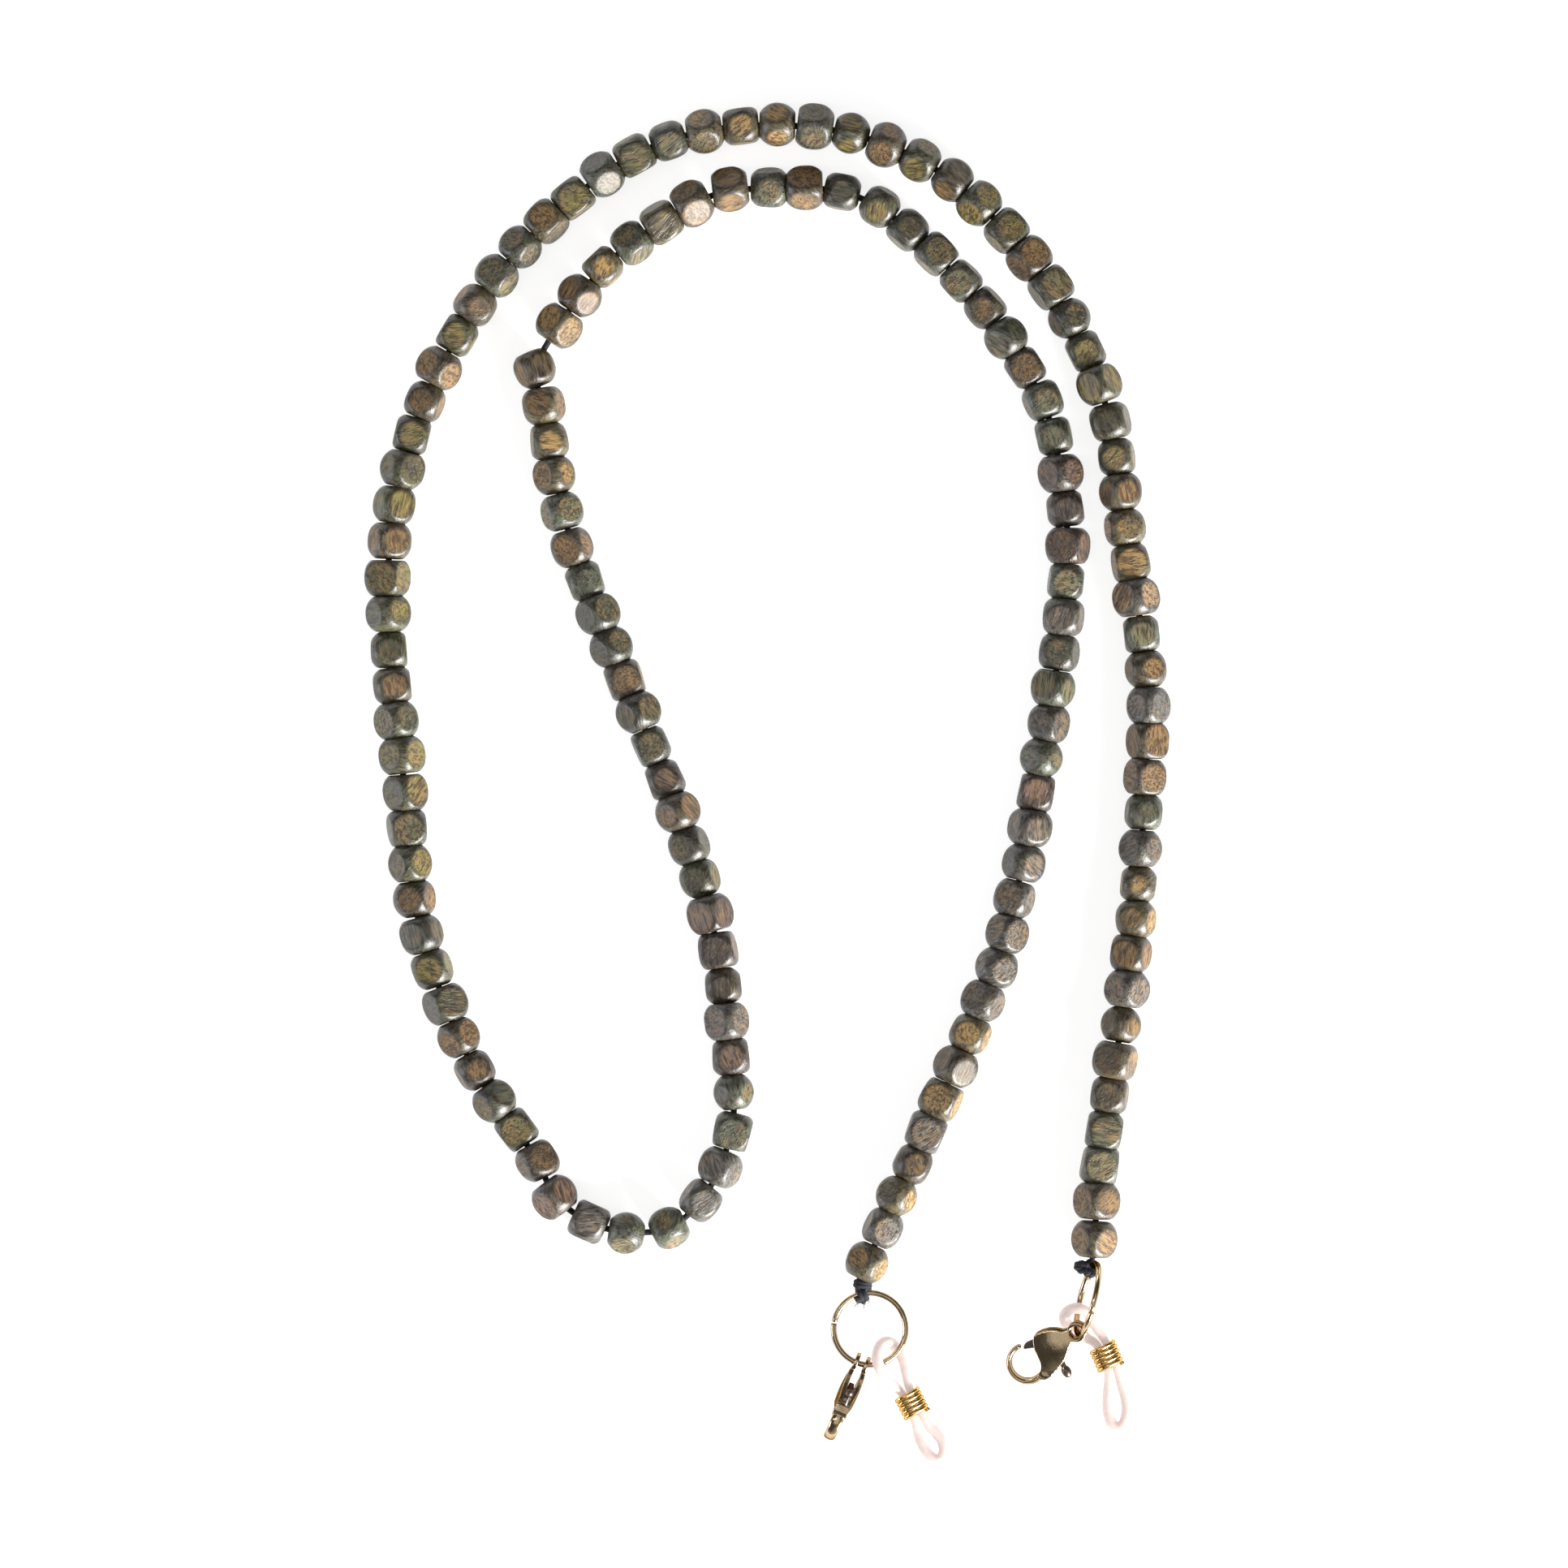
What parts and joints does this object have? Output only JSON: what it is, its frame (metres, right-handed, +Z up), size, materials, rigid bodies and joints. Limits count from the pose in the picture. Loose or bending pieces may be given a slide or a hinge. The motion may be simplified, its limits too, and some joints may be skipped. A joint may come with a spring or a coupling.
{
  "type": "eyeglass retainer strap",
  "caption": "Strand of dice-shaped wooden beads on a knotted cord, with a jump ring, lobster clasp and silicone temple loop at each end, laid out flat.",
  "frame": {"origin": "middle of the laid-out strand's box, on the surface that it lies on", "axes": "+Z up, +Y from the clasps towards the strand's upper bend, +X towards end B's side"},
  "size_m": [0.1128, 0.1911, 0.0108],
  "materials": {
    "wood": "dyed grey-green wood, satin waxed",
    "cord": "black braided cord",
    "antique_gold": "pale antique gold plating",
    "bright_gold": "bright gold plating",
    "spring_steel": "spring steel",
    "silicone": "milky translucent silicone"
  },
  "bodies": {
    "strand_01": {"bead_run_01": "wood", "knot_a": "cord"},
    "strand_02": {"bead_run_02": "wood"},
    "strand_03": {"bead_run_03": "wood"},
    "strand_04": {"bead_run_04": "wood"},
    "strand_05": {"bead_run_05": "wood"},
    "strand_06": {"bead_run_06": "wood"},
    "strand_07": {"bead_run_07": "wood"},
    "strand_08": {"bead_run_08": "wood"},
    "strand_09": {"bead_run_09": "wood"},
    "strand_10": {"bead_run_10": "wood"},
    "strand_11": {"bead_run_11": "wood"},
    "strand_12": {"bead_run_12": "wood"},
    "strand_13": {"bead_run_13": "wood"},
    "strand_14": {"bead_run_14": "wood"},
    "strand_15": {"bead_run_15": "wood"},
    "strand_16": {"bead_run_16": "wood"},
    "strand_17": {"bead_run_17": "wood"},
    "strand_18": {"bead_run_18": "wood"},
    "strand_19": {"bead_run_19": "wood"},
    "strand_20": {"bead_run_20": "wood"},
    "strand_21": {"bead_run_21": "wood"},
    "strand_22": {"bead_run_22": "wood"},
    "strand_23": {"bead_run_23": "wood"},
    "strand_24": {"bead_run_24": "wood", "knot_b": "cord"},
    "ring_a": {"ring_a": "antique_gold"},
    "clasp_a": {"clasp_a_body": "antique_gold", "clasp_a_rivet": "antique_gold", "clasp_a_spring": "spring_steel"},
    "clasp_a_lever": {"clasp_a_lever": "antique_gold"},
    "temple_loop_a": {"temple_loop_a": "silicone"},
    "coil_a": {"coil_a": "bright_gold"},
    "ring_b": {"ring_b": "antique_gold"},
    "clasp_b": {"clasp_b_body": "antique_gold", "clasp_b_rivet": "antique_gold", "clasp_b_spring": "spring_steel"},
    "clasp_b_lever": {"clasp_b_lever": "antique_gold"},
    "temple_loop_b": {"temple_loop_b": "silicone"},
    "coil_b": {"coil_b": "bright_gold"}
  },
  "joints": [
    {"name": "ring_a_swing", "type": "hinge", "parent": "strand_01", "child": "ring_a", "pos_m": [0.01318, -0.0713, 0.00275], "axis": [-0.9703, -0.2419, 0], "range_deg": [0, 100]},
    {"name": "clasp_a_swing", "type": "hinge", "parent": "ring_a", "child": "clasp_a", "pos_m": [0.01317, -0.0811, 0.00275], "axis": [-0.9143, 0.4051, 0], "range_deg": [0, 75]},
    {"name": "clasp_a_lever_press", "type": "hinge", "parent": "clasp_a", "child": "clasp_a_lever", "pos_m": [0.01161, -0.08462, 0.00195], "axis": [-0.9143, 0.4051, 0], "range_deg": [0, 24], "stiffness_Nm_per_rad": 0.002, "springref_deg": -17.19},
    {"name": "temple_loop_a_swing", "type": "hinge", "parent": "ring_a", "child": "temple_loop_a", "pos_m": [0.01708, -0.08048, 0.00275], "axis": [-0.848, -0.5299, 0], "range_deg": [0, 35]},
    {"name": "coil_a_slide", "type": "slide", "parent": "temple_loop_a", "child": "coil_a", "axis": [0.4472, -0.8944, 0], "range_m": [0, 0.0025], "deforming": ["temple_loop_a"]},
    {"name": "ring_b_turn", "type": "hinge", "parent": "strand_24", "child": "ring_b", "pos_m": [0.0448, -0.07185, 0.00543], "axis": [-0.9578, 0.2464, 0.1478], "range_deg": [0, 35]},
    {"name": "clasp_b_swing", "type": "hinge", "parent": "ring_b", "child": "clasp_b", "pos_m": [0.04338, -0.07644, 0.00389], "axis": [-0.1746, -0.1725, 0.9694], "range_deg": [-10, 30]},
    {"name": "clasp_b_lever_press", "type": "hinge", "parent": "clasp_b", "child": "clasp_b_lever", "pos_m": [0.03968, -0.07748, 0.00304], "axis": [-0.1746, -0.1725, 0.9694], "range_deg": [0, 24], "stiffness_Nm_per_rad": 0.002, "springref_deg": -17.19},
    {"name": "temple_loop_b_swing", "type": "hinge", "parent": "ring_b", "child": "temple_loop_b", "pos_m": [0.044, -0.0746, 0.0012], "axis": [0, 0, 1], "range_deg": [-8, 20]},
    {"name": "coil_b_slide", "type": "slide", "parent": "temple_loop_b", "child": "coil_b", "axis": [0.392, -0.92, 0], "range_m": [0, 0.0025], "deforming": ["temple_loop_b"]},
    {"name": "strand_bend_11", "type": "hinge", "parent": "strand_12", "child": "strand_11", "pos_m": [-0.00566, -0.05105, 0.00292], "axis": [0.9496, -0.3135, 0], "range_deg": [-2, 8]},
    {"name": "strand_bend_10", "type": "hinge", "parent": "strand_11", "child": "strand_10", "pos_m": [-0.00738, -0.0206, 0.00304], "axis": [-0.9764, -0.2159, 0], "range_deg": [-2, 8]},
    {"name": "strand_bend_09", "type": "hinge", "parent": "strand_10", "child": "strand_09", "pos_m": [-0.01705, 0.00779, 0.0029], "axis": [0.925, 0.38, 0], "range_deg": [-2, 8]},
    {"name": "strand_bend_08", "type": "hinge", "parent": "strand_09", "child": "strand_08", "pos_m": [-0.02787, 0.03576, 0.00325], "axis": [-0.9612, -0.2757, 0], "range_deg": [-2, 8]},
    {"name": "strand_bend_07", "type": "hinge", "parent": "strand_08", "child": "strand_07", "pos_m": [-0.02767, 0.06635, 0.00334], "axis": [-0.8143, 0.5805, 0], "range_deg": [-2, 8]},
    {"name": "strand_bend_06", "type": "hinge", "parent": "strand_07", "child": "strand_06", "pos_m": [-0.00242, 0.08339, 0.00306], "axis": [0.0637, -0.998, 0], "range_deg": [-2, 8]},
    {"name": "strand_bend_05", "type": "hinge", "parent": "strand_06", "child": "strand_05", "pos_m": [0.02538, 0.07242, 0.00282], "axis": [0.7177, 0.6964, 0], "range_deg": [-2, 8]},
    {"name": "strand_bend_04", "type": "hinge", "parent": "strand_05", "child": "strand_04", "pos_m": [0.0407, 0.04617, 0.00307], "axis": [0.9849, 0.1729, 0], "range_deg": [-2, 8]},
    {"name": "strand_bend_03", "type": "hinge", "parent": "strand_04", "child": "strand_03", "pos_m": [0.0405, 0.01599, 0.00308], "axis": [-0.9897, 0.1433, 0], "range_deg": [-2, 8]},
    {"name": "strand_bend_02", "type": "hinge", "parent": "strand_03", "child": "strand_02", "pos_m": [0.03531, -0.01344, 0.00315], "axis": [-0.9744, 0.2247, 0], "range_deg": [-2, 8]},
    {"name": "strand_bend_01", "type": "hinge", "parent": "strand_02", "child": "strand_01", "pos_m": [0.02533, -0.04178, 0.00317], "axis": [0.9098, -0.415, 0], "range_deg": [-2, 8]},
    {"name": "strand_bend_12", "type": "hinge", "parent": "strand_12", "child": "strand_13", "pos_m": [-0.03093, -0.05522, 0.00327], "axis": [0.8959, 0.4443, 0], "range_deg": [-2, 8]},
    {"name": "strand_bend_13", "type": "hinge", "parent": "strand_13", "child": "strand_14", "pos_m": [-0.04591, -0.0283, 0.00308], "axis": [-0.9409, -0.3386, 0], "range_deg": [-2, 8]},
    {"name": "strand_bend_14", "type": "hinge", "parent": "strand_14", "child": "strand_15", "pos_m": [-0.0509, 0.00149, 0.00331], "axis": [0.9953, 0.0965, 0], "range_deg": [-2, 8]},
    {"name": "strand_bend_15", "type": "hinge", "parent": "strand_15", "child": "strand_16", "pos_m": [-0.05292, 0.0315, 0.00324], "axis": [-0.9991, 0.0436, 0], "range_deg": [-2, 8]},
    {"name": "strand_bend_16", "type": "hinge", "parent": "strand_16", "child": "strand_17", "pos_m": [-0.04453, 0.0606, 0.00296], "axis": [0.882, -0.4713, 0], "range_deg": [-2, 8]},
    {"name": "strand_bend_17", "type": "hinge", "parent": "strand_17", "child": "strand_18", "pos_m": [-0.02506, 0.08379, 0.00292], "axis": [-0.6095, 0.7928, 0], "range_deg": [-2, 8]},
    {"name": "strand_bend_18", "type": "hinge", "parent": "strand_18", "child": "strand_19", "pos_m": [0.0041, 0.09219, 0.00331], "axis": [-0.0628, -0.998, 0], "range_deg": [-2, 8]},
    {"name": "strand_bend_19", "type": "hinge", "parent": "strand_19", "child": "strand_20", "pos_m": [0.03163, 0.07944, 0.00318], "axis": [0.7128, 0.7014, 0], "range_deg": [-2, 8]},
    {"name": "strand_bend_20", "type": "hinge", "parent": "strand_20", "child": "strand_21", "pos_m": [0.04733, 0.05344, 0.00318], "axis": [-0.9604, -0.2786, 0], "range_deg": [-2, 8]},
    {"name": "strand_bend_21", "type": "hinge", "parent": "strand_21", "child": "strand_22", "pos_m": [0.05213, 0.02369, 0.00297], "axis": [-0.9893, -0.1458, 0], "range_deg": [-2, 8]},
    {"name": "strand_bend_22", "type": "hinge", "parent": "strand_22", "child": "strand_23", "pos_m": [0.05259, -0.00635, 0.00301], "axis": [0.9981, -0.0617, 0], "range_deg": [-2, 8]},
    {"name": "strand_bend_23", "type": "hinge", "parent": "strand_23", "child": "strand_24", "pos_m": [0.04922, -0.03605, 0.00322], "axis": [0.9857, -0.1687, 0], "range_deg": [-2, 8]}
  ]
}
